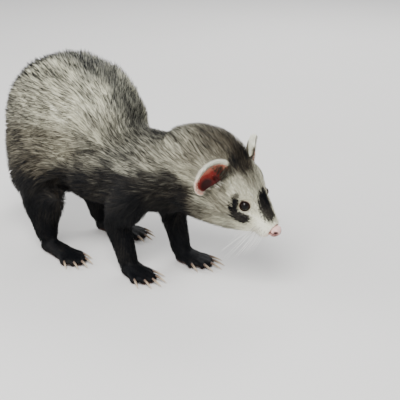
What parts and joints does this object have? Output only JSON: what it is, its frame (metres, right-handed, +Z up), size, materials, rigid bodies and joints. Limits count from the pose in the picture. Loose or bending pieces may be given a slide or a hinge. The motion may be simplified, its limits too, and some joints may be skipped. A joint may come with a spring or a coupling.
{
  "type": "ferret",
  "caption": "Life-size sable ferret standing on four short legs, its back arched high and its head lowered and turned a little to the left.",
  "frame": {"origin": "on the floor, under the middle of the box around the animal", "axes": "+X forwards along the body, +Y to the animal's left, +Z up"},
  "size_m": [0.3168, 0.1404, 0.1703],
  "materials": {
    "saddle_coat": "long pale grey-cream underfur under black-brown guard hair",
    "neck_coat": "short dark brown guard hair over pale underfur",
    "mask_coat": "short cream fur with a dark brown mask and crown",
    "limb_coat": "black-brown fur",
    "tail_coat": "long black-brown fur",
    "ear": "thin pink skin with a fine cream fur rim",
    "nose": "moist pink pebbled skin",
    "eye": "wet, near black",
    "claw": "pale horn"
  },
  "bodies": {
    "root": {"head": "mask_coat", "neck": "neck_coat", "chest": "saddle_coat", "loin": "saddle_coat", "tail": "tail_coat", "nose": "nose", "left_ear": "ear", "left_eye": "eye", "left_fore_claw_fourth": "claw", "left_fore_claw_inner": "claw", "left_fore_claw_outer": "claw", "left_fore_claw_second": "claw", "left_fore_claw_third": "claw", "left_fore_lower_leg": "limb_coat", "left_fore_paw": "limb_coat", "left_fore_upper_leg": "limb_coat", "left_hind_claw_fourth": "claw", "left_hind_claw_inner": "claw", "left_hind_claw_outer": "claw", "left_hind_claw_second": "claw", "left_hind_claw_third": "claw", "left_hind_lower_leg": "limb_coat", "left_hind_paw": "limb_coat", "left_hind_upper_leg": "limb_coat", "right_ear": "ear", "right_eye": "eye", "right_fore_claw_fourth": "claw", "right_fore_claw_inner": "claw", "right_fore_claw_outer": "claw", "right_fore_claw_second": "claw", "right_fore_claw_third": "claw", "right_fore_lower_leg": "limb_coat", "right_fore_paw": "limb_coat", "right_fore_upper_leg": "limb_coat", "right_hind_claw_fourth": "claw", "right_hind_claw_inner": "claw", "right_hind_claw_outer": "claw", "right_hind_claw_second": "claw", "right_hind_claw_third": "claw", "right_hind_lower_leg": "limb_coat", "right_hind_paw": "limb_coat", "right_hind_upper_leg": "limb_coat"}
  },
  "joints": []
}
